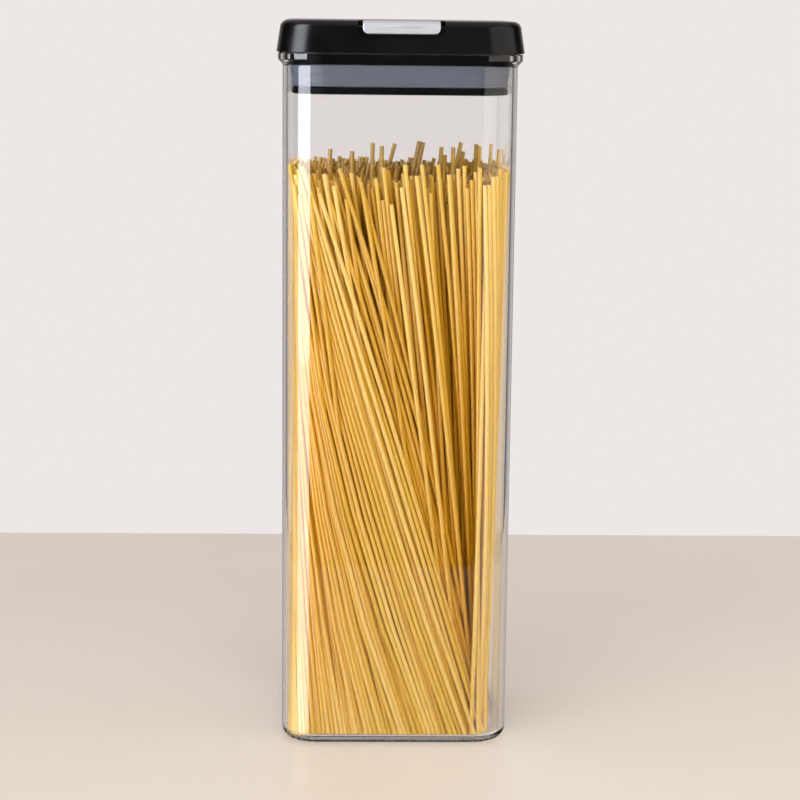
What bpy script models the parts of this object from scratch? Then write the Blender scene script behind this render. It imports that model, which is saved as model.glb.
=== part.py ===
"""Dry spaghetti standing in a tall clear storage jar with a push-in lid.

The jar is a tapered box of rounded-square section with a moulded collar round its mouth. The
lid is a black cap whose boss reaches down into the mouth, with a grey seal ring round the boss
and a black plate under it. The strands stand on the jar's floor in a twisted bundle: each one
is straight, and its top end is a good way further round the wall than its foot.

Units are metres, +Z is up, the front faces -Y, and the origin is at the middle of the base.
"""

import math
import random

import bmesh
import bpy
from mathutils import Matrix, Vector

# Jar
FOOT_WIDTH = 0.1019
SHOULDER_WIDTH = 0.1035
SHOULDER_HEIGHT = 0.3045
WALL = 0.0022
FLOOR = 0.0032
PLAN_CORNER = 0.0160
FOOT_ROUND = 0.0050
FLOOR_ROUND = 0.0020
COLLAR_WIDTH = 0.1077
COLLAR_LOW = 0.3068
RIM_HEIGHT = 0.3097
RIM_ROUND = 0.0006

# Pieces that meet stay this far apart
GAP = 0.0003

# Lid
CAP_HEIGHT = 0.0140
CAP_WIDTH = 0.1089
CAP_DRAW_IN = 0.0016
CAP_CHAMFER = 0.0005
CAP_ROUND = 0.0030
NECK_WIDTH = 0.0983
NECK_DROP = 0.0040
BOSS_WIDTH = 0.0872
SEAL_TOP_WIDTH = 0.0985
SEAL_FOOT_WIDTH = 0.0963
SEAL_HEIGHT = 0.0105
PLATE_WIDTH = 0.0963
PLATE_THICKNESS = 0.0030
PLATE_ROUND = 0.0008

# Silver tab let into the lid's upper front edge
TAB_WIDTH = 0.0336
TAB_DROP = 0.0057
TAB_DEPTH = 0.0120
TAB_THICKNESS = 0.0022
TAB_CORNER = 0.0025
RECESS_MARGIN = 0.0020
CUTTER_PROUD = 0.0010

# Strands
STRAND_LENGTH = 0.2560
LENGTH_SPREAD = 0.0030
STRAND_RADIUS = 0.0010
STRAND_SIDES = 6
WALL_STRANDS = 128
SPACING_SPREAD = 0.12
TWIST_TURNS = 0.205
SHEET_RISE = 0.97
CORE_INSET = 0.0008
CORE_HEIGHT = 0.2360
CORE_BANDS = 4
CORE_POINTS = 40
FOOT_SHIFT = -0.0025
FOOT_NARROWING = 0.0050
STUBS_ACROSS = 9
STUB_SPREAD = 0.35
STUB_REACH = 0.93
STUB_SUNK = 0.0040
MOST_LIFT = 0.0110
SEED = 7

CORNER_STEPS = 5
SMOOTH_BELOW = math.radians(35)

LID_LOW = RIM_HEIGHT + GAP
LID_TOP = LID_LOW + CAP_HEIGHT
NECK_LOW = LID_LOW - NECK_DROP
SEAL_HIGH = NECK_LOW - GAP
SEAL_LOW = SEAL_HIGH - SEAL_HEIGHT
PLATE_HIGH = SEAL_LOW - GAP
PLATE_LOW = PLATE_HIGH - PLATE_THICKNESS
STRAND_LOW = FLOOR + FLOOR_ROUND / 2 + GAP
SHEET_HIGH = STRAND_LOW + SHEET_RISE * STRAND_LENGTH


def clear_scene():
    for thing in list(bpy.data.objects):
        bpy.data.objects.remove(thing, do_unlink=True)


def new_collection(name):
    made = bpy.data.collections.new(name)
    bpy.context.scene.collection.children.link(made)
    return made


def finish(name, hex_colour, roughness, metallic=0.0, alpha=1.0):
    """A Principled material of one colour, given as sRGB hex."""
    made = bpy.data.materials.new(name)
    made.use_nodes = True
    shader = made.node_tree.nodes["Principled BSDF"]
    channels = [int(hex_colour[start : start + 2], 16) / 255 for start in (1, 3, 5)]
    linear = [c / 12.92 if c <= 0.04045 else ((c + 0.055) / 1.055) ** 2.4 for c in channels]
    shader.inputs["Base Color"].default_value = (*linear, 1)
    shader.inputs["Roughness"].default_value = roughness
    shader.inputs["Metallic"].default_value = metallic
    shader.inputs["Alpha"].default_value = alpha
    made.diffuse_color = (*linear, alpha)
    return made


def new_object(name, mesh, home, material):
    """The bmesh as an object of that name, shaded smooth except at its edges."""
    bmesh.ops.recalc_face_normals(mesh, faces=mesh.faces)
    data = bpy.data.meshes.new(name)
    mesh.to_mesh(data)
    mesh.free()
    data.materials.append(material)
    data.shade_smooth()
    data.set_sharp_from_angle(angle=SMOOTH_BELOW)
    made = bpy.data.objects.new(name, data)
    home.objects.link(made)
    return made


def rounded_square(width, corner):
    """Points round a rounded square, anticlockwise from its front right corner."""
    reach = width / 2 - corner
    points = []
    for quarter in range(4):
        middle = Matrix.Rotation(quarter * math.pi / 2, 2) @ Vector((reach, -reach))
        for step in range(CORNER_STEPS + 1):
            angle = (quarter - 1 + step / CORNER_STEPS) * math.pi / 2
            points.append(middle + corner * Vector((math.cos(angle), math.sin(angle))))
    return points


def along(points, share):
    """The point that lies this share of the way round a closed outline."""
    closed = points + points[:1]
    steps = [(b - a).length for a, b in zip(closed, closed[1:])]
    left = (share % 1.0) * sum(steps)
    for start, end, step in zip(closed, closed[1:], steps):
        if left <= step:
            return start.lerp(end, left / step)
        left -= step
    return closed[-1]


def ring(width, height, corner=PLAN_CORNER):
    return rounded_square(width, corner), height


def swept(rings, through=False):
    """A closed mesh: one face extruded through rings, each a list of points and a height.

    With through set, the last ring meets the first again, so the body has a hole.
    """
    mesh = bmesh.new()
    bmesh.ops.create_circle(mesh, cap_ends=True, segments=len(rings[0][0]), radius=1)
    order = mesh.verts.layers.int.new("order")
    first = face = next(iter(mesh.faces))
    for number, vert in enumerate(face.verts):
        vert[order] = number
    for index, (points, height) in enumerate(rings + rings[:1] * through):
        if index:
            made = bmesh.ops.extrude_face_region(mesh, geom=[face])["geom"]
            if index > 1:
                bmesh.ops.delete(mesh, geom=[face], context="FACES_ONLY")
            face = next(part for part in made if isinstance(part, bmesh.types.BMFace))
        for vert in face.verts:
            vert.co = (*points[vert[order]], height)
    if through:
        bmesh.ops.delete(mesh, geom=[first, face], context="FACES_ONLY")
        bmesh.ops.remove_doubles(mesh, verts=mesh.verts, dist=1e-6)
    return mesh


def arc(radius, steps, start, end):
    """(sideways, up) offsets along an arc, whose angles are in degrees."""
    angles = [math.radians(start + (end - start) * step / steps) for step in range(steps + 1)]
    return [(radius * math.cos(angle), radius * math.sin(angle)) for angle in angles]


def inner_width(height):
    """The width between the jar's inner walls at this height."""
    share = height / SHOULDER_HEIGHT
    return FOOT_WIDTH + (SHOULDER_WIDTH - FOOT_WIDTH) * share - 2 * WALL


def jar(home):
    """The clear jar, swept up its outside, over the rim and down its inside to the floor."""
    inner_corner = PLAN_CORNER - WALL
    rings = [
        ring(FOOT_WIDTH + 2 * (side - FOOT_ROUND), FOOT_ROUND + up, PLAN_CORNER + side - FOOT_ROUND)
        for side, up in arc(FOOT_ROUND, 4, -90, 0)
    ]
    rings += [
        ring(SHOULDER_WIDTH, SHOULDER_HEIGHT),
        ring(COLLAR_WIDTH, COLLAR_LOW),
        ring(COLLAR_WIDTH, RIM_HEIGHT - RIM_ROUND),
        ring(COLLAR_WIDTH - 2 * RIM_ROUND, RIM_HEIGHT),
        ring(inner_width(RIM_HEIGHT), RIM_HEIGHT, inner_corner),
    ]
    low = FLOOR + FLOOR_ROUND
    rings += [
        ring(inner_width(low) + 2 * (side - FLOOR_ROUND), low + up, inner_corner + side - FLOOR_ROUND)
        for side, up in arc(FLOOR_ROUND, 3, 0, -90)
    ]
    return new_object("jar", swept(rings), home, finish("clear copolyester", "#E9ECEC", 0.05, alpha=0.3))


def cap_front(height):
    """How far forward the cap's drafted side stands at this height."""
    share = (height - LID_LOW) / (LID_TOP - CAP_ROUND - LID_LOW)
    return -CAP_WIDTH / 2 + CAP_DRAW_IN * min(share, 1)


def lid_cap(home, cutters):
    """The black cap with its neck and boss, and the shallow recess round the tab."""
    top_width = CAP_WIDTH - 2 * CAP_DRAW_IN
    rings = [
        ring(BOSS_WIDTH, SEAL_LOW),
        ring(BOSS_WIDTH, NECK_LOW),
        ring(NECK_WIDTH, NECK_LOW),
        ring(NECK_WIDTH, LID_LOW),
        ring(CAP_WIDTH - 2 * CAP_CHAMFER, LID_LOW),
        ring(CAP_WIDTH, LID_LOW + CAP_CHAMFER),
    ]
    rings += [
        ring(top_width + 2 * (side - CAP_ROUND), LID_TOP - CAP_ROUND + up)
        for side, up in arc(CAP_ROUND, 4, 0, 90)
    ]
    cap = new_object("lid_cap", swept(rings), home, finish("satin black ABS", "#17181A", 0.38))
    sunk = edge_band(
        inner=TAB_THICKNESS + GAP,
        outer=-CUTTER_PROUD,
        drop=TAB_DROP + RECESS_MARGIN,
        depth=TAB_DEPTH + RECESS_MARGIN,
        width=TAB_WIDTH + 2 * RECESS_MARGIN,
        corner=TAB_CORNER + RECESS_MARGIN,
    )
    cutter = new_object("tab_recess", sunk, cutters, finish("cutter", "#FF8800", 0.5))
    cutter.hide_render = True
    cutter.display_type = "WIRE"
    modifier = cap.modifiers.new("recess", "BOOLEAN")
    modifier.operation = "DIFFERENCE"
    modifier.solver = "EXACT"
    modifier.object = cutter
    return cap


def edge_path(sunk, drop, depth):
    """(y, z) points over the cap's upper front edge, this far under its surface."""
    low = LID_TOP - drop
    middle = LID_TOP - CAP_ROUND
    path = [(cap_front(low) + sunk, low)]
    path += [
        (cap_front(middle) + CAP_ROUND - side, middle + up)
        for side, up in arc(CAP_ROUND - sunk, 4, 0, 90)
    ]
    return path + [(cap_front(middle) + depth, LID_TOP - sunk)]


def edge_band(inner, outer, drop, depth, width, corner):
    """A band bent over the cap's upper front edge, with its lower and back corners rounded."""
    outline = edge_path(inner, drop, depth) + edge_path(outer, drop, depth)[::-1]
    mesh = bmesh.new()
    face = mesh.faces.new([mesh.verts.new((-width / 2, y, z)) for y, z in outline])
    made = bmesh.ops.extrude_face_region(mesh, geom=[face])["geom"]
    moved = [part for part in made if isinstance(part, bmesh.types.BMVert)]
    bmesh.ops.translate(mesh, verts=moved, vec=(width, 0, 0))
    ends = (outline[0], outline[-1]), (outline[len(outline) // 2 - 1], outline[len(outline) // 2])
    corners = []
    for edge in mesh.edges:
        places = {(round(v.co.y, 6), round(v.co.z, 6)) for v in edge.verts}
        level = abs(edge.verts[0].co.x - edge.verts[1].co.x) < 1e-6
        if level and any({(round(y, 6), round(z, 6)) for y, z in end} == places for end in ends):
            corners.append(edge)
    bmesh.ops.bevel(mesh, geom=corners, offset=corner, segments=3, profile=0.5, affect="EDGES")
    return mesh


def lid_tab(home):
    """The silver tab that lies in the recess, level with the cap round it."""
    band = edge_band(
        inner=TAB_THICKNESS, outer=0, drop=TAB_DROP, depth=TAB_DEPTH, width=TAB_WIDTH, corner=TAB_CORNER
    )
    return new_object("lid_tab", band, home, finish("satin aluminium", "#B4B6B6", 0.35, 0.9))


def lid_seal(home):
    """The grey seal ring, a little wider at its top."""
    hole = BOSS_WIDTH + 2 * GAP
    rings = [
        ring(hole, SEAL_LOW),
        ring(SEAL_FOOT_WIDTH, SEAL_LOW),
        ring(SEAL_TOP_WIDTH, SEAL_HIGH),
        ring(hole, SEAL_HIGH),
    ]
    return new_object("lid_seal", swept(rings, through=True), home, finish("grey silicone", "#7C828B", 0.5))


def lid_base(home):
    """The black plate that closes the lid's underside."""
    rings = [
        ring(PLATE_WIDTH + 2 * (side - PLATE_ROUND), PLATE_LOW + PLATE_ROUND + up)
        for side, up in arc(PLATE_ROUND, 2, -90, 0)
    ]
    rings += [
        ring(PLATE_WIDTH + 2 * (side - PLATE_ROUND), PLATE_HIGH - PLATE_ROUND + up)
        for side, up in arc(PLATE_ROUND, 2, 0, 90)
    ]
    return new_object("lid_base", swept(rings), home, finish("black ABS", "#1B1C1E", 0.42))


def foot_outline(inset):
    """Where the feet of the outermost strands stand: they leave a gap on the right."""
    width = inner_width(STRAND_LOW) - 2 * (GAP + inset) - FOOT_NARROWING
    shift = Vector((FOOT_SHIFT, 0))
    return [point + shift for point in rounded_square(width, PLAN_CORNER - WALL - inset)]


def top_outline(inset):
    """Where the tops of the outermost strands lean against the wall."""
    return rounded_square(inner_width(SHEET_HIGH) - 2 * (GAP + inset), PLAN_CORNER - WALL - inset)


def wall_point(share, height, inset):
    """A point of the twisted sheet that the outermost strands lie in."""
    rise = (height - STRAND_LOW) / (SHEET_HIGH - STRAND_LOW)
    foot = along(foot_outline(inset), share)
    return foot.lerp(along(top_outline(inset), share - TWIST_TURNS), rise)


def core():
    """The solid heart of the bundle, twisted like the sheet of strands round it."""
    inset = STRAND_RADIUS + CORE_INSET
    shares = [number / CORE_POINTS for number in range(CORE_POINTS)]
    rings = []
    for band in range(CORE_BANDS + 1):
        height = STRAND_LOW + (CORE_HEIGHT - STRAND_LOW) * band / CORE_BANDS
        rings.append(([wall_point(share, height, inset) for share in shares], height))
    return swept(rings)


def strand(name, foot, top, home, material):
    """A straight strand between two points, as a prism with few sides."""
    line = top - foot
    turn = line.to_track_quat("Z", "Y").to_matrix().to_4x4()
    mesh = bmesh.new()
    bmesh.ops.create_cone(
        mesh,
        cap_ends=True,
        segments=STRAND_SIDES,
        radius1=STRAND_RADIUS,
        radius2=STRAND_RADIUS,
        depth=line.length,
        matrix=Matrix.Translation((foot + top) / 2) @ turn,
    )
    return new_object(name, mesh, home, material)


def whole_strand(share, lift, length):
    """The foot and top of a strand that leans against the wall."""
    foot = along(foot_outline(STRAND_RADIUS), share)
    top = along(top_outline(STRAND_RADIUS), share - TWIST_TURNS)
    low = STRAND_LOW + lift
    rise = math.sqrt(length**2 - (top - foot).length_squared)
    return Vector((*foot, low)), Vector((*top, low + rise))


def stub(across, deep, length):
    """The part above the core of a strand that stands inside the bundle."""
    corners = top_outline(2 * STRAND_RADIUS)
    top = Vector((across, deep)) * max(point.x for point in corners)
    turned = Matrix.Rotation(TWIST_TURNS * math.tau, 2) @ top
    rise = math.sqrt(length**2 - (top - turned).length_squared)
    high = Vector((*top, STRAND_LOW + rise))
    low = Vector((*turned, STRAND_LOW))
    start = (CORE_HEIGHT - STUB_SUNK - STRAND_LOW) / rise
    return low.lerp(high, start), high


def spaghetti(home):
    """The bundle: a core with the strands that show fused to it."""
    draw = random.Random(SEED)
    material = finish("dried durum pasta", "#E3B968", 0.5)
    pieces = new_collection("strand_pieces")
    for number in range(WALL_STRANDS):
        share = (number + draw.uniform(-SPACING_SPREAD, SPACING_SPREAD)) / WALL_STRANDS
        lift = MOST_LIFT * draw.random() ** 2
        foot, top = whole_strand(share, lift, STRAND_LENGTH - LENGTH_SPREAD * draw.random())
        strand(f"wall_strand_{number:03}", foot, top, pieces, material)
    for row in range(STUBS_ACROSS):
        for column in range(STUBS_ACROSS):
            across = (column + 0.5 + draw.uniform(-STUB_SPREAD, STUB_SPREAD)) / STUBS_ACROSS * 2 - 1
            deep = (row + 0.5 + draw.uniform(-STUB_SPREAD, STUB_SPREAD)) / STUBS_ACROSS * 2 - 1
            length = STRAND_LENGTH + draw.uniform(-2 * LENGTH_SPREAD, MOST_LIFT)
            low, high = stub(STUB_REACH * across, STUB_REACH * deep, length)
            strand(f"stub_{row:02}_{column:02}", low, high, pieces, material)
    bundle = new_object("spaghetti", core(), home, material)
    modifier = bundle.modifiers.new("strands", "BOOLEAN")
    modifier.operation = "UNION"
    modifier.solver = "MANIFOLD"
    modifier.operand_type = "COLLECTION"
    modifier.collection = pieces
    bpy.context.view_layer.update()
    whole = bpy.data.meshes.new_from_object(bundle.evaluated_get(bpy.context.evaluated_depsgraph_get()))
    bundle.modifiers.clear()
    bundle.data = whole
    for piece in list(pieces.objects):
        bpy.data.objects.remove(piece, do_unlink=True)
    bpy.data.collections.remove(pieces)
    keep_largest_body(whole)
    return bundle


def keep_largest_body(data):
    """Drops loose scraps, and the walls of hollows that fusing sealed."""
    mesh = bmesh.new()
    mesh.from_mesh(data)
    unseen = set(mesh.faces)
    bodies = []
    while unseen:
        body = []
        edge_of_body = [unseen.pop()]
        while edge_of_body:
            face = edge_of_body.pop()
            body.append(face)
            for edge in face.edges:
                for other in edge.link_faces:
                    if other in unseen:
                        unseen.remove(other)
                        edge_of_body.append(other)
        bodies.append(body)
    bodies.sort(key=len)
    spare = [face for body in bodies[:-1] for face in body]
    bmesh.ops.delete(mesh, geom=spare, context="FACES")
    mesh.to_mesh(data)
    mesh.free()
    data.set_sharp_from_angle(angle=SMOOTH_BELOW)


def main():
    clear_scene()
    home = new_collection("spaghetti_jar")
    cutters = new_collection("cutters")
    jar(home)
    lid_cap(home, cutters)
    lid_seal(home)
    lid_base(home)
    lid_tab(home)
    spaghetti(home)


main()
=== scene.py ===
"""Looks of a tall clear storage jar of dry spaghetti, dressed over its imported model.

The jar, the lid's pieces and every strand are modelled here in full, and each piece stands for
its node of the model. Units are metres, +Z is up and the front faces -Y.
"""

import math
import random

import bmesh
import bpy
import numpy as np
from mathutils import Matrix, Vector


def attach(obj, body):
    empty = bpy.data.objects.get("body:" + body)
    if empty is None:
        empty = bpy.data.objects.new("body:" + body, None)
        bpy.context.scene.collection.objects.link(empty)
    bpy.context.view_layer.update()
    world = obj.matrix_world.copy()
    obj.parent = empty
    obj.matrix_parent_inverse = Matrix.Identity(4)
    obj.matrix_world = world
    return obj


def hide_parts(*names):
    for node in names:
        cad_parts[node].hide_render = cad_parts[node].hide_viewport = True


# Jar
FOOT_WIDTH = 0.1019
SHOULDER_WIDTH = 0.1035
SHOULDER_HEIGHT = 0.3045
WALL = 0.0022
FLOOR = 0.0032
PLAN_CORNER = 0.0160
FOOT_ROUND = 0.0050
FLOOR_ROUND = 0.0020
COLLAR_WIDTH = 0.1077
COLLAR_LOW = 0.3068
RIM_HEIGHT = 0.3097
RIM_ROUND = 0.0006
MOULD_EASE = 0.0004
FOOT_RING = 0.0100
FOOT_HOLLOW = 0.0006

# Pieces that meet stay this far apart
GAP = 0.0003

# Lid
CAP_HEIGHT = 0.0140
CAP_WIDTH = 0.1089
CAP_DRAW_IN = 0.0016
CAP_CHAMFER = 0.0005
CAP_ROUND = 0.0030
NECK_WIDTH = 0.0983
NECK_DROP = 0.0040
BOSS_WIDTH = 0.0872
SEAL_TOP_WIDTH = 0.0985
SEAL_FOOT_WIDTH = 0.0963
SEAL_HEIGHT = 0.0105
PLATE_WIDTH = 0.0963
PLATE_THICKNESS = 0.0030
PLATE_ROUND = 0.0008

# The seal's ribs: heights above its foot, and how far its side lies in from its widest there
SEAL_RIBS = [
    (0.0000, 0.0004),
    (0.0004, 0.0000),
    (0.0011, 0.0000),
    (0.0014, 0.0003),
    (0.0047, 0.0003),
    (0.0050, 0.0001),
    (0.0055, 0.0001),
    (0.0058, 0.0003),
    (0.0091, 0.0003),
    (0.0094, 0.0000),
    (0.0101, 0.0000),
    (0.0105, 0.0004),
]

# Silver tab let into the lid's upper front edge
TAB_WIDTH = 0.0336
TAB_DROP = 0.0057
TAB_DEPTH = 0.0120
TAB_THICKNESS = 0.0022
TAB_CORNER = 0.0025
TAB_EASE = 0.0003
RECESS_MARGIN = 0.0020
CUTTER_PROUD = 0.0010

CORNER_STEPS = 14
SMOOTH_BELOW = math.radians(35)
TINY = 1e-5

# How strongly the jar's walls take up the light that passes through them
WALL_DENSITY = 3.0

LID_LOW = RIM_HEIGHT + GAP
LID_TOP = LID_LOW + CAP_HEIGHT
NECK_LOW = LID_LOW - NECK_DROP
SEAL_HIGH = NECK_LOW - GAP
SEAL_LOW = SEAL_HIGH - SEAL_HEIGHT
PLATE_HIGH = SEAL_LOW - GAP
PLATE_LOW = PLATE_HIGH - PLATE_THICKNESS

# Strands: their number and shape, and the slant of their cut ends
STRANDS = 1120
STRAND_RADIUS = 0.0010
RADIUS_SPREAD = 0.04
STRAND_SIDES = 8
STRAND_RINGS = 6
CUT_SLANT = 0.25
SEED = 7

# The outer strands lie in layers, wound round the inner ones. Turns and places on the way round
# are shares of one whole turn. Along the jar's right side a gap is left at the foot
LAYERS = 3
LAYER_STRANDS = 155
LAYER_STEP = 0.043
SPACING_SPREAD = 0.12
SHEET_EDGE = 1.020
EDGE_STEP = 0.030
SHEET_TURNS = 0.285
TURNS_STEP = 0.015
SHEET_TURNS_SPREAD = 0.006
SHEET_EASING = 0.55
INNER_TURNS = 0.150
INNER_TURNS_SPREAD = 0.018
FOOT_GAP = 0.0050
FEET_ABOVE_FLOOR = GAP / 3

# Heights of the strands' tops: even along the back, uneven in front and lower in the middle, and
# some behind the middle stand higher. The powers say how the spread falls off, how much the tops
# crowd near the highest, and how steep the edge of the lower middle is
STRANDS_HEIGHT = 0.2560
BACK_TOP = 0.2595
BACK_TOP_SPREAD = 0.0030
FRONT_TOP = 0.2625
FRONT_TOP_SPREAD = 0.0185
FRONT_POWER = 4
TOP_POWER = 1.3
LEAST_DISH = 0.0070
MOST_DISH = 0.0170
DISH_POWER = 3
LIFTED_SHARE = 0.030
LEAST_LIFT = 0.0020
MOST_LIFT = 0.0090

# Painted shade: strands deep in the bundle are coloured a darker, deeper orange-gold, which stands
# in for the shade between them and the light that reaches there through other strands. This starts
# and is full at two depths, and fades out towards a height above the strands
PAINTED_SHADE_FROM = 0.0004
PAINTED_SHADE_AT = 0.0080
PAINTED_SHADE_POWER = 0.65
PAINTED_SHADE_TOP = 0.2720
PAINTED_SHADE_FADE = 0.0300

# How the strands settle against each other, over levels from their feet to their tops. Those
# within reach of each other are looked for every few steps
LEVELS = 13
SETTLING_STEPS = 260
STEPS_PER_SEARCH = 8
SEARCH_REACH = 0.0031
FIRMNESS = 0.55
STRAIGHTENING = 0.991

# Camera, from where the lid's rim, the foot and the strands' tops lie in the picture
CAMERA_DISTANCE = 1.130
CAMERA_HEIGHT = 0.3301
CAMERA_AZIMUTH = math.radians(-1.66)
CAMERA_PITCH = math.radians(9.06)
CAMERA_TURN = math.radians(-0.13)
CAMERA_ROLL = math.radians(0.63)
LENS = 111.1
SENSOR = 36.0

# Surroundings. As the jar mirrors it, the room is dark in front and at the sides, less so towards
# the back, and pale overhead. The bounds are Y and Z of the direction that a ray goes in
FLOOR_WIDTH = 0.80
FILL = 0.78
DARK = 0.02
DARK_UP_TO = 0.55
PALE_FROM = 1.00
LEAST_DARK = 0.15
WALL_UP_TO = 0.50
CEILING_FROM = 0.85

# The window as the jar mirrors it, dimmer towards the floor and below it: low, high and radiance
MIRRORED_WINDOW = [
    (0.00, 1.49, 12.5),
    (-0.17, 0.00, 9.2),
    (-0.35, -0.17, 7.0),
    (-0.43, -0.35, 4.6),
    (-0.51, -0.43, 2.3),
]
MIRRORED_WIDTH = 0.84


def deselect():
    bpy.ops.object.select_all(action="DESELECT")


def start_box(name, width, low, high):
    """A cube primitive at its size and place, left open for editing."""
    deselect()
    bpy.ops.mesh.primitive_cube_add(size=1, location=(0, 0, (low + high) / 2))
    piece = bpy.context.object
    piece.name = piece.data.name = name
    piece.scale = (width, width, high - low)
    bpy.ops.object.transform_apply(location=True, rotation=True, scale=True)
    bpy.ops.object.mode_set(mode="EDIT")
    return piece


def close_editing():
    bpy.ops.object.mode_set(mode="OBJECT")


def pick(kind, test):
    """In edit mode, selects only the verts, edges or faces that pass the test."""
    bpy.ops.mesh.select_mode(type=kind)
    bpy.ops.mesh.select_all(action="DESELECT")
    mesh = bmesh.from_edit_mesh(bpy.context.object.data)
    for part in {"VERT": mesh.verts, "EDGE": mesh.edges, "FACE": mesh.faces}[kind]:
        if test(part):
            part.select_set(True)


def level(height):
    """A test for edges and faces that lie level at this height."""
    return lambda part: all(abs(vert.co.z - height) < TINY for vert in part.verts)


def upright(edge):
    return (edge.verts[0].co - edge.verts[1].co).xy.length < TINY


def resize_face(height, share):
    """Draws the level face at this height in or out."""
    pick("FACE", level(height))
    bpy.ops.transform.resize(value=(share, share, 1), center_override=(0, 0, height))


def round_loop(height, radius, steps):
    """Rounds the edge that runs all the way round the piece at this height."""
    pick("EDGE", level(height))
    bpy.ops.mesh.bevel(offset=radius, segments=steps, affect="EDGES", clamp_overlap=False)


def stack(name, corner, profile):
    """A rounded-square body drawn up through (height, width) levels, left open for editing.

    It starts as a box with its four upright edges rounded, whose top face is then extruded
    from level to level and drawn in or out.
    """
    (low, width), (high, next_width) = profile[:2]
    piece = start_box(name, width, low, high)
    pick("EDGE", upright)
    bpy.ops.mesh.bevel(offset=corner, segments=CORNER_STEPS, affect="EDGES")
    resize_face(high, next_width / width)
    for (low, width), (high, next_width) in zip(profile[1:], profile[2:]):
        pick("FACE", level(low))
        bpy.ops.mesh.extrude_region_move(TRANSFORM_OT_translate={"value": (0, 0, high - low)})
        resize_face(high, next_width / width)
    return piece


def apply_modifier(piece, kind, **settings):
    bpy.context.view_layer.objects.active = piece
    modifier = piece.modifiers.new(kind.lower(), kind)
    for name, value in settings.items():
        setattr(modifier, name, value)
    bpy.ops.object.modifier_apply(modifier=modifier.name)


def combine(piece, other, operation):
    """Cuts another piece out of this one, or fuses it on, and then removes the other."""
    apply_modifier(piece, "BOOLEAN", operation=operation, solver="EXACT", object=other)
    bpy.data.objects.remove(other, do_unlink=True)


def shade(piece):
    """Smooth shading that keeps flat walls flat and sharp edges sharp."""
    deselect()
    piece.select_set(True)
    bpy.context.view_layer.objects.active = piece
    bpy.ops.object.shade_smooth_by_angle(angle=SMOOTH_BELOW)
    apply_modifier(piece, "WEIGHTED_NORMAL", weight=60, keep_sharp=True)


def put_on(piece, node, material):
    """The piece stands for its node, rides with the jar and gets its material."""
    piece.data.materials.clear()
    piece.data.materials.append(material)
    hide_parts(node)
    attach(piece, "root")


def inner_width(height):
    """The width between the jar's inner walls at this height."""
    return FOOT_WIDTH + (SHOULDER_WIDTH - FOOT_WIDTH) * height / SHOULDER_HEIGHT - 2 * WALL


def jar():
    """The clear jar: its outside with foot, shoulder and collar, hollowed out from above."""
    profile = [
        (0, FOOT_WIDTH),
        (SHOULDER_HEIGHT, SHOULDER_WIDTH),
        (COLLAR_LOW, COLLAR_WIDTH),
        (RIM_HEIGHT, COLLAR_WIDTH),
    ]
    shell = stack("jar_shell", PLAN_CORNER, profile)
    round_loop(0, FOOT_ROUND, steps=7)
    round_loop(SHOULDER_HEIGHT, MOULD_EASE, steps=3)
    round_loop(COLLAR_LOW, MOULD_EASE, steps=3)
    round_loop(RIM_HEIGHT, RIM_ROUND, steps=3)
    close_editing()
    mouth = RIM_HEIGHT + CUTTER_PROUD
    profile = [(FLOOR, inner_width(FLOOR)), (mouth, inner_width(mouth))]
    hollow = stack("hollow", PLAN_CORNER - WALL, profile)
    round_loop(FLOOR, FLOOR_ROUND, steps=5)
    close_editing()
    combine(shell, hollow, "DIFFERENCE")
    ring = FOOT_WIDTH - 2 * FOOT_RING
    profile = [(-CUTTER_PROUD, ring), (FOOT_HOLLOW, ring - 2 * FOOT_HOLLOW)]
    hollow = stack("foot_hollow", PLAN_CORNER - FOOT_RING / 2, profile)
    close_editing()
    combine(shell, hollow, "DIFFERENCE")
    shade(shell)
    return shell


def cap_front(height):
    """How far forward the cap's drafted side stands at this height."""
    share = (height - LID_LOW) / (LID_TOP - CAP_ROUND - LID_LOW)
    return -CAP_WIDTH / 2 + CAP_DRAW_IN * min(share, 1)


def edge_strip(name, proud, thickness, margin):
    """A strip bent over the cap's upper front edge, with its corners rounded.

    It starts as a small upright plane on the cap's front, whose upper edge is spun over the
    cap's rounding and then drawn back. Its thickness goes inwards.
    """
    width = TAB_WIDTH + 2 * margin
    low = LID_TOP - TAB_DROP - margin
    middle = LID_TOP - CAP_ROUND
    top = LID_TOP + proud
    front = cap_front(middle)
    back = front + TAB_DEPTH + margin
    deselect()
    bpy.ops.mesh.primitive_plane_add(size=1)
    strip = bpy.context.object
    strip.name = strip.data.name = name
    strip.rotation_euler = (math.pi / 2, 0, 0)
    strip.scale = (width, middle - low, 1)
    strip.location = (0, front - proud, (low + middle) / 2)
    bpy.ops.object.transform_apply(location=True, rotation=True, scale=True)
    bpy.ops.object.mode_set(mode="EDIT")
    pick("EDGE", level(low))
    bpy.ops.transform.translate(value=(0, cap_front(low) - front, 0))
    pick("EDGE", level(middle))
    centre = (0, front + CAP_ROUND, middle)
    bpy.ops.mesh.spin(steps=6, angle=math.pi / 2, center=centre, axis=(1, 0, 0))
    pick("EDGE", level(top))
    reach = back - (front + CAP_ROUND)
    bpy.ops.mesh.extrude_region_move(TRANSFORM_OT_translate={"value": (0, reach, 0)})
    bpy.ops.mesh.select_all(action="SELECT")
    bpy.ops.mesh.remove_doubles(threshold=TINY)

    def at_end(vert):
        low_end = abs(vert.co.z - low) < TINY
        back_end = abs(vert.co.y - back) < TINY
        return low_end or back_end

    pick("VERT", at_end)
    corner = TAB_CORNER + margin
    bpy.ops.mesh.bevel(offset=corner, segments=5, affect="VERTICES", clamp_overlap=False)
    bpy.ops.mesh.select_all(action="SELECT")
    bpy.ops.mesh.normals_make_consistent(inside=False)
    close_editing()
    apply_modifier(strip, "SOLIDIFY", thickness=thickness, offset=-1, use_even_offset=True)
    return strip


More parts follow.
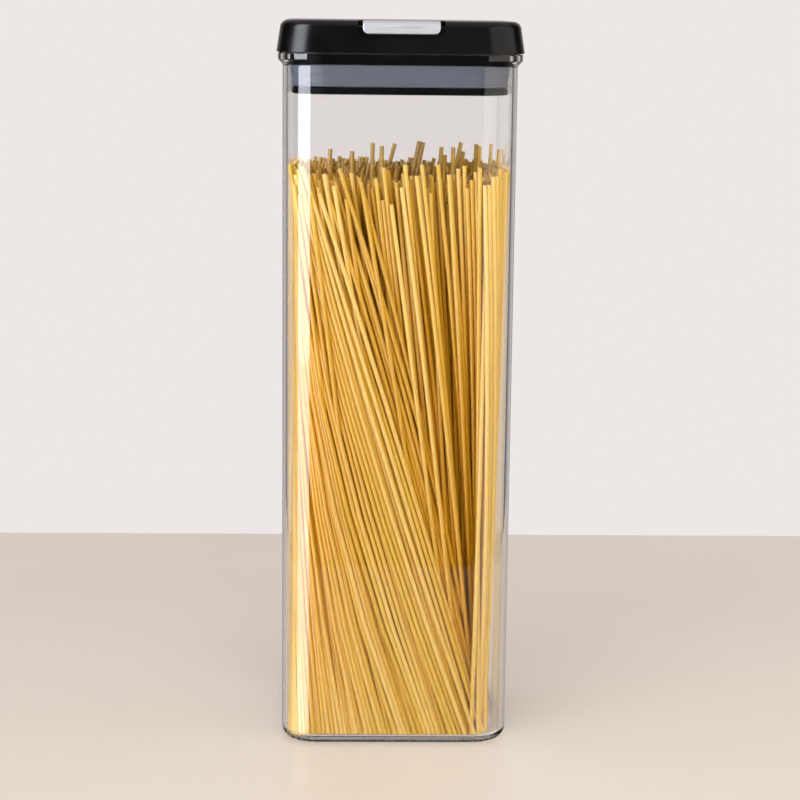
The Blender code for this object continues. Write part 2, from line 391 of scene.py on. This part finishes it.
def lid_cap():
    """The black cap, with its neck and boss in the mouth and the shallow recess for the tab."""
    draw_in = CAP_DRAW_IN * CAP_HEIGHT / (CAP_HEIGHT - CAP_ROUND)
    profile = [(LID_LOW, CAP_WIDTH), (LID_TOP, CAP_WIDTH - 2 * draw_in)]
    cap = stack("cap_shell", PLAN_CORNER, profile)
    round_loop(LID_TOP, CAP_ROUND, steps=6)
    round_loop(LID_LOW, CAP_CHAMFER, steps=2)
    close_editing()
    buried = LID_LOW + CAP_HEIGHT / 4
    for width, low in (NECK_WIDTH, NECK_LOW), (BOSS_WIDTH, SEAL_LOW):
        step = stack("step", PLAN_CORNER, [(low, width), (buried, width)])
        close_editing()
        combine(cap, step, "UNION")
    recess = edge_strip("recess", CUTTER_PROUD, TAB_THICKNESS + GAP + CUTTER_PROUD, RECESS_MARGIN)
    combine(cap, recess, "DIFFERENCE")
    shade(cap)
    return cap


def lid_tab():
    """The silver tab that lies in the recess, level with the cap round it."""
    tab = edge_strip("tab_trim", 0, TAB_THICKNESS, 0)
    apply_modifier(tab, "BEVEL", width=TAB_EASE, segments=2, limit_method="ANGLE")
    shade(tab)
    return tab


def lid_seal():
    """The grey seal ring, with a rib at its top, its middle and its foot."""
    profile = []
    for up, inset in SEAL_RIBS:
        widest = SEAL_FOOT_WIDTH + (SEAL_TOP_WIDTH - SEAL_FOOT_WIDTH) * up / SEAL_HEIGHT
        profile.append((SEAL_LOW + up, widest - 2 * inset))
    seal = stack("seal_ring", PLAN_CORNER, profile)
    close_editing()
    width = BOSS_WIDTH + 2 * GAP
    ends = [(SEAL_LOW - CUTTER_PROUD, width), (SEAL_HIGH + CUTTER_PROUD, width)]
    hole = stack("hole", PLAN_CORNER, ends)
    close_editing()
    combine(seal, hole, "DIFFERENCE")
    shade(seal)
    return seal


def lid_base():
    """The black plate that closes the lid's underside."""
    plate = stack("base_plate", PLAN_CORNER, [(PLATE_LOW, PLATE_WIDTH), (PLATE_HIGH, PLATE_WIDTH)])
    round_loop(PLATE_LOW, PLATE_ROUND, steps=4)
    round_loop(PLATE_HIGH, PLATE_ROUND, steps=4)
    close_editing()
    shade(plate)
    return plate


def outline_points(shares, half_width, corner):
    """Points this share of the way round a rounded square, anticlockwise from its front right."""
    reach = half_width - corner
    points = []
    for quarter in range(4):
        middle = Matrix.Rotation(quarter * math.pi / 2, 2) @ Vector((reach, -reach))
        for step in range(CORNER_STEPS + 1):
            angle = (quarter - 1 + step / CORNER_STEPS) * math.pi / 2
            points.append(middle + corner * Vector((math.cos(angle), math.sin(angle))))
    points = np.array(points + points[:1])
    way = np.concatenate([[0], np.cumsum(np.linalg.norm(np.diff(points, axis=0), axis=1))])
    places = (shares % 1.0) * way[-1]
    return np.stack([np.interp(places, way, points[:, axis]) for axis in (0, 1)], axis=1)


def room(height):
    """Half the width, and the corner, that a strand's middle line may reach at this height."""
    return inner_width(height) / 2 - GAP - STRAND_RADIUS, PLAN_CORNER - WALL - GAP - STRAND_RADIUS


def foot_gap(share_up):
    """The strands leave a gap along the jar's right side, which closes towards their tops."""
    return FOOT_GAP * (1 - share_up)


def curve_terms(share_up):
    """Three terms that every strand's path is built of: its middle, its lean and its bend."""
    along = 2 * np.asarray(share_up) - 1
    return np.stack([np.ones_like(along), along, (3 * along**2 - 1) / 2], axis=-1)


def first_paths(draw):
    """Paths that are wound round the bundle's middle, as places of LEVELS x STRANDS x 2.

    The outer layers turn most at their edge, by the jar's front right corner, and ever less
    from there to the left, the back and the right.
    """
    shares = []
    turns = []
    foot_depths = []
    top_depths = []
    inner_depth = 1 - LAYERS * LAYER_STEP
    for number in range(STRANDS):
        layer, place = divmod(number, LAYER_STRANDS)
        if layer < LAYERS:
            shift = draw.uniform(-SPACING_SPREAD, SPACING_SPREAD)
            share = (place + layer / 2 + shift) / LAYER_STRANDS
            past_edge = (share - SHEET_EDGE - layer * EDGE_STEP) % 1
            turn = (SHEET_TURNS - layer * TURNS_STEP) * past_edge**SHEET_EASING
            turn += draw.gauss(0, SHEET_TURNS_SPREAD)
            foot_depth = top_depth = 1 - layer * LAYER_STEP
        else:
            share = draw.random()
            foot_depth = inner_depth * math.sqrt(draw.random())
            turn = INNER_TURNS * foot_depth + draw.gauss(0, INNER_TURNS_SPREAD)
            # Where the layers have turned away, the inner strands reach the wall
            bare = 0 < (SHEET_EDGE - share + turn) % 1 < SHEET_TURNS
            top_depth = foot_depth / inner_depth if bare else foot_depth
        shares.append(share)
        turns.append(turn)
        foot_depths.append(foot_depth)
        top_depths.append(top_depth)
    levels = []
    for up in np.linspace(0, 1, LEVELS):
        half, corner = room(up * STRANDS_HEIGHT)
        points = outline_points(np.array(shares) - up * np.array(turns), half, corner)
        points *= ((1 - up) * np.array(foot_depths) + up * np.array(top_depths))[:, None]
        points[:, 0] = (points[:, 0] + half) * (1 - foot_gap(up) / 2 / half) - half
        levels.append(points)
    return np.array(levels)


def close_pairs(places):
    """The level, strand and other strand of every two that are near each other."""
    found = []
    for number, points in enumerate(places):
        squares = (points**2).sum(axis=1)
        apart = squares[:, None] + squares - 2 * points @ points.T
        one, other = np.nonzero(np.triu(apart < SEARCH_REACH**2, 1))
        found.append((np.full(len(one), number), one, other))
    return [np.concatenate(part) for part in zip(*found)]


def push_apart(places, pairs):
    """Moves strands that overlap away from each other."""
    rows, one, other = pairs
    apart = places[rows, one] - places[rows, other]
    distance = np.linalg.norm(apart, axis=1) + TINY
    share = FIRMNESS * np.maximum(2 * STRAND_RADIUS - distance, 0) / distance / 2
    for axis in (0, 1):
        move = apart[:, axis] * share
        size = places.shape[0] * places.shape[1]
        total = np.bincount(rows * STRANDS + one, move, size)
        total -= np.bincount(rows * STRANDS + other, move, size)
        places[..., axis] += total.reshape(places.shape[:2])


def keep_inside(places):
    """Moves strands that are past the wall back against it."""
    for share_up, points in zip(np.linspace(0, 1, LEVELS), places):
        half, corner = room(share_up * STRANDS_HEIGHT)
        narrowed = foot_gap(share_up) / 2
        middle = np.array([-narrowed, 0])
        straight = np.array([half - narrowed, half]) - corner
        local = points - middle
        past = np.abs(local) - straight
        length = np.linalg.norm(np.maximum(past, 0), axis=1, keepdims=True) + TINY
        past = np.where(past > 0, past * np.minimum(1, corner / length), past)
        points[:] = middle + np.sign(local) * (straight + past)


def settled_paths(draw):
    """The strands' curve terms, 3 x STRANDS x 2, once they only touch and are nearly straight."""
    places = first_paths(draw)
    terms = curve_terms(np.linspace(0, 1, LEVELS))
    fit = np.linalg.pinv(terms)
    for step in range(SETTLING_STEPS):
        if step % STEPS_PER_SEARCH == 0:
            pairs = close_pairs(places)
        push_apart(places, pairs)
        keep_inside(places)
        paths = np.tensordot(fit, places, axes=1)
        paths[2] *= STRAIGHTENING
        places = np.tensordot(terms, paths, axes=1)
    return paths


def top_and_lift(draw, place):
    """How high a strand's top is, and how far it is lifted, from where in the mouth its top is."""
    half, _ = room(STRANDS_HEIGHT)
    if place[1] > 0 and draw.random() < LIFTED_SHARE:
        return BACK_TOP, draw.uniform(LEAST_LIFT, MOST_LIFT)
    reach = min(np.abs(place).max() / half, 1)
    in_front = min(max((1 - place[1] / half) / 2, 0), 1) ** FRONT_POWER
    top = BACK_TOP + (FRONT_TOP - BACK_TOP) * in_front
    spread = BACK_TOP_SPREAD + (FRONT_TOP_SPREAD - BACK_TOP_SPREAD) * in_front
    dish = draw.uniform(LEAST_DISH, MOST_DISH) * (1 - reach**DISH_POWER)
    return top - spread * draw.random() ** TOP_POWER - dish, 0


def strand_centres(draw, paths):
    """Each strand's middle line, as STRANDS x STRAND_RINGS x 3."""
    top_places = (paths.T @ curve_terms(1)).T
    tops, lifts = np.array([top_and_lift(draw, place) for place in top_places]).T
    half, _ = room(0)
    from_wall = half - np.abs(paths.T @ curve_terms(0)).max(axis=0) + GAP
    fillet = FLOOR_ROUND - np.sqrt(FLOOR_ROUND**2 - np.clip(FLOOR_ROUND - from_wall, 0, None) ** 2)
    feet = FLOOR + FEET_ABOVE_FLOOR + fillet
    rings = np.linspace(0, 1, STRAND_RINGS)
    heights = (feet + lifts)[:, None] + (tops - feet)[:, None] * rings
    terms = curve_terms((heights - FLOOR) / STRANDS_HEIGHT)
    flat = np.einsum("srt,tsa->sra", terms, paths)
    return np.concatenate([flat, heights[..., None]], axis=2)


def painted_shade_share(places):
    """How much painted shade the strands get at these places, from how deep in the bundle they
    lie.
    """
    across, back, heights = places.T
    half, corner = room(heights)
    narrowed = foot_gap(heights / STRANDS_HEIGHT) / 2
    past_side = np.abs(across + narrowed) - (half - narrowed - corner)
    past_front = np.abs(back) - (half - corner)
    outside = np.hypot(np.maximum(past_side, 0), np.maximum(past_front, 0))
    inside = np.minimum(np.maximum(past_side, past_front), 0)
    depth = corner + STRAND_RADIUS - outside - inside
    deep = np.clip((depth - PAINTED_SHADE_FROM) / (PAINTED_SHADE_AT - PAINTED_SHADE_FROM), 0, 1) ** PAINTED_SHADE_POWER
    return deep * np.clip((PAINTED_SHADE_TOP - heights) / PAINTED_SHADE_FADE, 0, 1)


def one_strand():
    """A strand to copy: a cylinder one unit high, cut into short lengths."""
    deselect()
    middle = (0, 0, 0.5)
    bpy.ops.mesh.primitive_cylinder_add(vertices=STRAND_SIDES, radius=1, depth=1, location=middle)
    strand = bpy.context.object
    bpy.ops.object.transform_apply(location=True, rotation=True, scale=True)
    bpy.ops.object.mode_set(mode="EDIT")
    pick("EDGE", upright)
    bpy.ops.mesh.subdivide(number_cuts=STRAND_RINGS - 2)
    close_editing()
    level_faces = [float(abs(face.normal.z) > 0.5) for face in strand.data.polygons]
    cut_ends = strand.data.attributes.new("cut_end", "FLOAT", "FACE")
    cut_ends.data.foreach_set("value", level_faces)
    strand.data.attributes.new("tone", "FLOAT", "POINT")
    strand.data.attributes.new("painted_shade", "FLOAT", "POINT")
    deselect()
    strand.select_set(True)
    bpy.ops.object.shade_smooth_by_angle(angle=SMOOTH_BELOW)
    return strand


def spaghetti():
    """The bundle: one strand copied along every path, and all of them joined."""
    draw = random.Random(SEED)
    centres = strand_centres(draw, settled_paths(draw))
    pattern = one_strand()
    shape = np.array([vert.co for vert in pattern.data.vertices])
    rings = np.rint(shape[:, 2] * (STRAND_RINGS - 1)).astype(int)
    ends = np.where(rings == 0, -1, 0) + np.where(rings == STRAND_RINGS - 1, 1, 0)
    strands = []
    for line in centres:
        ahead = np.gradient(line, axis=0)
        ahead /= np.linalg.norm(ahead, axis=1, keepdims=True)
        side = np.cross(ahead, (0, 1, 0))
        side /= np.linalg.norm(side, axis=1, keepdims=True)
        front = np.cross(ahead, side)
        radius = STRAND_RADIUS * (1 - RADIUS_SPREAD * draw.random())
        slant = CUT_SLANT * draw.random()
        across = shape[:, 0:1] * side[rings] + shape[:, 1:2] * front[rings]
        along = (ends * shape[:, 0] * slant)[:, None] * ahead[rings]
        places = line[rings] + radius * (across + along)
        strand = pattern.copy()
        strand.data = pattern.data.copy()
        bpy.context.collection.objects.link(strand)
        strand.data.vertices.foreach_set("co", places.astype(np.float32).ravel())
        tone = strand.data.attributes["tone"]
        tone.data.foreach_set("value", np.full(len(shape), draw.random(), np.float32))
        # Painted shade: how deep in the bundle each vertex lies, which darkens its colour
        painted_shade = strand.data.attributes["painted_shade"]
        painted_shade.data.foreach_set("value", painted_shade_share(places).astype(np.float32))
        strands.append(strand)
    bpy.data.objects.remove(pattern, do_unlink=True)
    deselect()
    for strand in strands:
        strand.select_set(True)
    bpy.context.view_layer.objects.active = strands[0]
    bpy.ops.object.join()
    bundle = bpy.context.object
    bundle.name = bundle.data.name = "strands"
    return bundle


def linear(hex_colour):
    """An sRGB hex colour as a linear colour with full alpha."""
    channels = [int(hex_colour[start : start + 2], 16) / 255 for start in (1, 3, 5)]
    return (*[c / 12.92 if c <= 0.04045 else ((c + 0.055) / 1.055) ** 2.4 for c in channels], 1)


def add_node(tree, kind, values=(), links=(), **settings):
    """A node of this kind, with its settings, its sockets' values and what feeds them."""
    made = tree.nodes.new(kind)
    for name, value in settings.items():
        setattr(made, name, value)
    for socket, value in dict(values).items():
        made.inputs[socket].default_value = value
    for socket, source in dict(links).items():
        tree.links.new(source, made.inputs[socket])
    return made


def new_material(name):
    """An empty material, its node tree and its output node."""
    material = bpy.data.materials.new(name)
    material.use_nodes = True
    tree = material.node_tree
    tree.nodes.clear()
    return material, tree, tree.nodes.new("ShaderNodeOutputMaterial")


def dried_durum_pasta():
    """Durum pasta, extruded and dried: satin, deep gold to straw, with chalky cut ends and painted
    shade deep in the bundle.
    """
    material, tree, output = new_material("dried durum pasta")
    tone = add_node(tree, "ShaderNodeAttribute", attribute_name="tone")
    ramp = add_node(tree, "ShaderNodeValToRGB", links={"Fac": tone.outputs["Fac"]})
    ramp.color_ramp.elements[0].color = linear("#CA9A24")
    ramp.color_ramp.elements[1].color = linear("#E4C06A")
    ramp.color_ramp.elements.new(0.45).color = linear("#D8B242")
    # Painted shade: strands deep in the bundle are mixed towards a darker, deeper orange-gold
    painted_shade = add_node(tree, "ShaderNodeAttribute", attribute_name="painted_shade")
    painted_shade_mix = add_node(
        tree,
        "ShaderNodeMixRGB",
        {"Color2": linear("#D1970C")},
        {"Fac": painted_shade.outputs["Fac"], "Color1": ramp.outputs["Color"]},
    )
    place = add_node(tree, "ShaderNodeTexCoord")
    # Semolina grain of about 1 mm, drawn out lengthwise by the die
    stretched = add_node(
        tree,
        "ShaderNodeMapping",
        {"Scale": (1000, 1000, 150)},
        {"Vector": place.outputs["Object"]},
    )
    grain = add_node(
        tree, "ShaderNodeTexNoise", {"Scale": 1, "Detail": 3}, {"Vector": stretched.outputs[0]}
    )
    shift = add_node(
        tree,
        "ShaderNodeMapRange",
        {"From Min": 0.3, "From Max": 0.7, "To Min": 0.92, "To Max": 1.07},
        {"Value": grain.outputs["Fac"]},
    )
    grained = add_node(
        tree,
        "ShaderNodeVectorMath",
        links={0: painted_shade_mix.outputs["Color"], "Scale": shift.outputs[0]},
        operation="SCALE",
    )
    cut = add_node(tree, "ShaderNodeAttribute", attribute_name="cut_end")
    colour = add_node(
        tree,
        "ShaderNodeMixRGB",
        {"Color2": linear("#EBCB93")},
        {"Fac": cut.outputs["Fac"], "Color1": grained.outputs[0]},
    )
    dull = add_node(
        tree,
        "ShaderNodeMapRange",
        {"From Min": 0.3, "From Max": 0.7, "To Min": 0.40, "To Max": 0.52},
        {"Value": grain.outputs["Fac"]},
    )
    bump = add_node(
        tree,
        "ShaderNodeBump",
        {"Strength": 0.25, "Distance": 0.0001},
        {"Height": grain.outputs["Fac"]},
    )
    shader = add_node(
        tree,
        "ShaderNodeBsdfPrincipled",
        {"IOR": 1.48, "Specular IOR Level": 0.4},
        {
            "Base Color": colour.outputs["Color"],
            "Roughness": dull.outputs[0],
            "Normal": bump.outputs[0],
        },
    )
    tree.links.new(shader.outputs[0], output.inputs["Surface"])
    return material


def clear_acrylic():
    """Clear moulded acrylic: glassy, with the faint upright waves of its mould."""
    material, tree, output = new_material("clear acrylic")
    place = add_node(tree, "ShaderNodeTexCoord")
    stretched = add_node(
        tree, "ShaderNodeMapping", {"Scale": (60, 60, 8)}, {"Vector": place.outputs["Object"]}
    )
    waves = add_node(
        tree, "ShaderNodeTexNoise", {"Scale": 1, "Detail": 1}, {"Vector": stretched.outputs[0]}
    )
    bump = add_node(
        tree,
        "ShaderNodeBump",
        {"Strength": 0.3, "Distance": 0.0002},
        {"Height": waves.outputs["Fac"]},
    )
    shader = add_node(
        tree,
        "ShaderNodeBsdfPrincipled",
        {
            "Base Color": linear("#FFFEFE"),
            "Roughness": 0.015,
            "IOR": 1.49,
            "Transmission Weight": 1,
        },
        {"Normal": bump.outputs[0]},
    )
    # Light from the lamps goes straight through the walls
    clear = add_node(tree, "ShaderNodeBsdfTransparent", {"Color": linear("#F7F7F7")})
    path = add_node(tree, "ShaderNodeLightPath")
    mixed = add_node(
        tree,
        "ShaderNodeMixShader",
        links={0: path.outputs["Is Shadow Ray"], 1: shader.outputs[0], 2: clear.outputs[0]},
    )
    tree.links.new(mixed.outputs[0], output.inputs["Surface"])
    # Seen edge on, the walls are slightly grey
    grey = add_node(
        tree, "ShaderNodeVolumeAbsorption", {"Color": linear("#A6A3A1"), "Density": WALL_DENSITY}
    )
    tree.links.new(grey.outputs[0], output.inputs["Volume"])
    return material


def moulded(name, colour, roughness, specular, texture_size, texture_depth):
    """Moulded plastic or rubber with the fine texture of its spark-eroded mould."""
    material, tree, output = new_material(name)
    place = add_node(tree, "ShaderNodeTexCoord")
    texture = add_node(
        tree,
        "ShaderNodeTexNoise",
        {"Scale": 1 / texture_size, "Detail": 4},
        {"Vector": place.outputs["Object"]},
    )
    patches = add_node(
        tree, "ShaderNodeTexNoise", {"Scale": 40, "Detail": 2}, {"Vector": place.outputs["Object"]}
    )
    dull = add_node(
        tree,
        "ShaderNodeMapRange",
        {"From Min": 0.3, "From Max": 0.7, "To Min": roughness - 0.04, "To Max": roughness + 0.05},
        {"Value": patches.outputs["Fac"]},
    )
    bump = add_node(
        tree,
        "ShaderNodeBump",
        {"Strength": 0.5, "Distance": texture_depth},
        {"Height": texture.outputs["Fac"]},
    )
    shader = add_node(
        tree,
        "ShaderNodeBsdfPrincipled",
        {"Base Color": linear(colour), "Specular IOR Level": specular},
        {"Roughness": dull.outputs[0], "Normal": bump.outputs[0]},
    )
    tree.links.new(shader.outputs[0], output.inputs["Surface"])
    return material


def satin_aluminium():
    """Anodised aluminium, brushed sideways before it was anodised."""
    material, tree, output = new_material("satin anodised aluminium")
    place = add_node(tree, "ShaderNodeTexCoord")
    stretched = add_node(
        tree, "ShaderNodeMapping", {"Scale": (60, 4000, 4000)}, {"Vector": place.outputs["Object"]}
    )
    brushing = add_node(
        tree, "ShaderNodeTexNoise", {"Scale": 1, "Detail": 2}, {"Vector": stretched.outputs[0]}
    )
    dull = add_node(
        tree,
        "ShaderNodeMapRange",
        {"From Min": 0.3, "From Max": 0.7, "To Min": 0.34, "To Max": 0.48},
        {"Value": brushing.outputs["Fac"]},
    )
    bump = add_node(
        tree,
        "ShaderNodeBump",
        {"Strength": 0.2, "Distance": 0.00005},
        {"Height": brushing.outputs["Fac"]},
    )
    shader = add_node(
        tree,
        "ShaderNodeBsdfPrincipled",
        {"Base Color": linear("#CFD0D3"), "Metallic": 1},
        {"Roughness": dull.outputs[0], "Normal": bump.outputs[0]},
    )
    tree.links.new(shader.outputs[0], output.inputs["Surface"])
    return material


def pale_stone():
    """The floor: a honed pale stone, plain but for slow shifts of tone."""
    material, tree, output = new_material("honed pale stone")
    place = add_node(tree, "ShaderNodeTexCoord")
    clouds = add_node(
        tree, "ShaderNodeTexNoise", {"Scale": 6, "Detail": 3}, {"Vector": place.outputs["Object"]}
    )
    colour = add_node(
        tree,
        "ShaderNodeMixRGB",
        {"Color1": linear("#D2C8C0"), "Color2": linear("#DAD1C9")},
        {"Fac": clouds.outputs["Fac"]},
    )
    shader = add_node(
        tree,
        "ShaderNodeBsdfPrincipled",
        {"Roughness": 0.35},
        {"Base Color": colour.outputs["Color"]},
    )
    tree.links.new(shader.outputs[0], output.inputs["Surface"])
    return material


def floor():
    """A square of pale stone, which the jar's own reflections leave out."""
    deselect()
    bpy.ops.mesh.primitive_plane_add(size=FLOOR_WIDTH)
    slab = bpy.context.object
    slab.name = "floor"
    slab.data.materials.append(pale_stone())
    slab.visible_glossy = False


def surroundings():
    """A pale plain room, which lights softly. Mirror images of its front and sides are dark."""
    world = bpy.data.worlds.new("surroundings")
    bpy.context.scene.world = world
    world.use_nodes = True
    world.cycles.sampling_method = "NONE"
    tree = world.node_tree
    tree.nodes.clear()
    output = tree.nodes.new("ShaderNodeOutputWorld")
    path = add_node(tree, "ShaderNodeLightPath")
    wall = add_node(tree, "ShaderNodeBackground", {"Color": linear("#EDE8E6"), "Strength": 1})
    fill = add_node(tree, "ShaderNodeBackground", {"Color": linear("#F4F1EE"), "Strength": FILL})
    dark = add_node(tree, "ShaderNodeBackground", {"Color": linear("#EDE8E6"), "Strength": DARK})
    scattered = add_node(
        tree, "ShaderNodeMath", links={0: path.outputs["Diffuse Depth"]}, operation="GREATER_THAN"
    )
    mirrored = add_node(
        tree, "ShaderNodeMath", links={0: path.outputs["Glossy Depth"]}, operation="GREATER_THAN"
    )
    direction = add_node(tree, "ShaderNodeTexCoord")
    parts = add_node(tree, "ShaderNodeSeparateXYZ", links={0: direction.outputs["Generated"]})
    in_front = add_node(
        tree,
        "ShaderNodeMapRange",
        {"From Min": PALE_FROM, "From Max": DARK_UP_TO, "To Min": LEAST_DARK},
        {"Value": parts.outputs["Y"]},
        interpolation_type="SMOOTHSTEP",
    )
    below_ceiling = add_node(
        tree,
        "ShaderNodeMapRange",
        {"From Min": CEILING_FROM, "From Max": WALL_UP_TO},
        {"Value": parts.outputs["Z"]},
        interpolation_type="SMOOTHSTEP",
    )
    dark_part = add_node(
        tree,
        "ShaderNodeMath",
        links={0: in_front.outputs[0], 1: below_ceiling.outputs[0]},
        operation="MULTIPLY",
    )
    shown_dark = add_node(
        tree,
        "ShaderNodeMath",
        links={0: mirrored.outputs[0], 1: dark_part.outputs[0]},
        operation="MULTIPLY",
    )
    seen = add_node(
        tree,
        "ShaderNodeMixShader",
        links={0: shown_dark.outputs[0], 1: wall.outputs[0], 2: dark.outputs[0]},
    )
    mixed = add_node(
        tree,
        "ShaderNodeMixShader",
        links={0: scattered.outputs[0], 1: seen.outputs[0], 2: fill.outputs[0]},
    )
    tree.links.new(mixed.outputs[0], output.inputs["Surface"])


def softbox(name, azimuth, elevation, distance, height, size, radiance, colour):
    """A large soft lamp that faces a point at this height on the jar's middle line.

    Azimuth 0 is the front, and grows to the right. The lamp isn't seen through the jar's walls.
    """
    turned = Matrix.Rotation(math.radians(azimuth), 4, "Z")
    turned = turned @ Matrix.Rotation(math.pi / 2 - math.radians(elevation), 4, "X")
    deselect()
    bpy.ops.object.light_add(type="AREA")
    lamp = bpy.context.object
    lamp.name = lamp.data.name = name
    target = Matrix.Translation((0, 0, height))
    lamp.matrix_world = target @ turned @ Matrix.Translation((0, 0, distance))
    lamp.data.shape = "RECTANGLE"
    lamp.data.size, lamp.data.size_y = size
    # A lamp's power follows from its radiance and its size
    lamp.data.energy = radiance * math.pi * size[0] * size[1]
    lamp.data.color = linear(colour)[:3]
    lamp.visible_transmission = False
    return lamp


def lamps():
    """A window in front on the left, its mirror image in the jar, and soft light from the right.

    Tall cards stand for the window where the jar mirrors it, and only there.
    """
    window = softbox(
        "window",
        azimuth=-18,
        elevation=42,
        distance=1.3,
        height=0.15,
        size=(1.3, 1.1),
        radiance=2.2,
        colour="#FFFAF2",
    )
    window.visible_glossy = False
    for low, high, radiance in MIRRORED_WINDOW:
        card = softbox(
            "mirrored_window",
            azimuth=-48,
            elevation=0,
            distance=1.2,
            height=(low + high) / 2,
            size=(MIRRORED_WIDTH, high - low),
            radiance=radiance,
            colour="#F0F5FF",
        )
        card.visible_diffuse = False
    softbox(
        "bounce",
        azimuth=52,
        elevation=0,
        distance=1.3,
        height=0.45,
        size=(2.4, 2.2),
        radiance=1.5,
        colour="#FFF9F0",
    )


def camera():
    """The photo's view of the jar."""
    away = Matrix.Translation((0, -CAMERA_DISTANCE, CAMERA_HEIGHT))
    place = Matrix.Rotation(CAMERA_AZIMUTH, 4, "Z") @ away
    pitched = Matrix.Rotation(math.pi / 2 - CAMERA_PITCH, 4, "X")
    turned = Matrix.Rotation(CAMERA_TURN, 4, "Z") @ pitched
    deselect()
    bpy.ops.object.camera_add()
    made = bpy.context.object
    made.matrix_world = place @ turned @ Matrix.Rotation(CAMERA_ROLL, 4, "Z")
    made.data.sensor_width = SENSOR
    made.data.lens = LENS
    bpy.context.scene.camera = made


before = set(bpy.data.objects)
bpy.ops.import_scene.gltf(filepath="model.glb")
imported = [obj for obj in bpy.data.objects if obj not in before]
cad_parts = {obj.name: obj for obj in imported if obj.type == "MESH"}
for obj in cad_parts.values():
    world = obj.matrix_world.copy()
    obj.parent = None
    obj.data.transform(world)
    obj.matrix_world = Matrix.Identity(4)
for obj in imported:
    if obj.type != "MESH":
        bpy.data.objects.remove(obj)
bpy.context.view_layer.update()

put_on(jar(), "jar", clear_acrylic())
black = moulded(
    "satin black ABS",
    "#060607",
    roughness=0.24,
    specular=0.25,
    texture_size=0.0005,
    texture_depth=0.00003,
)
put_on(lid_cap(), "lid_cap", black)
put_on(lid_base(), "lid_base", black)
silicone = moulded(
    "grey silicone",
    "#525762",
    roughness=0.5,
    specular=0.5,
    texture_size=0.0008,
    texture_depth=0.00002,
)
put_on(lid_seal(), "lid_seal", silicone)
put_on(lid_tab(), "lid_tab", satin_aluminium())
put_on(spaghetti(), "spaghetti", dried_durum_pasta())

floor()
surroundings()
lamps()
camera()
bpy.context.scene.view_settings.view_transform = "Standard"
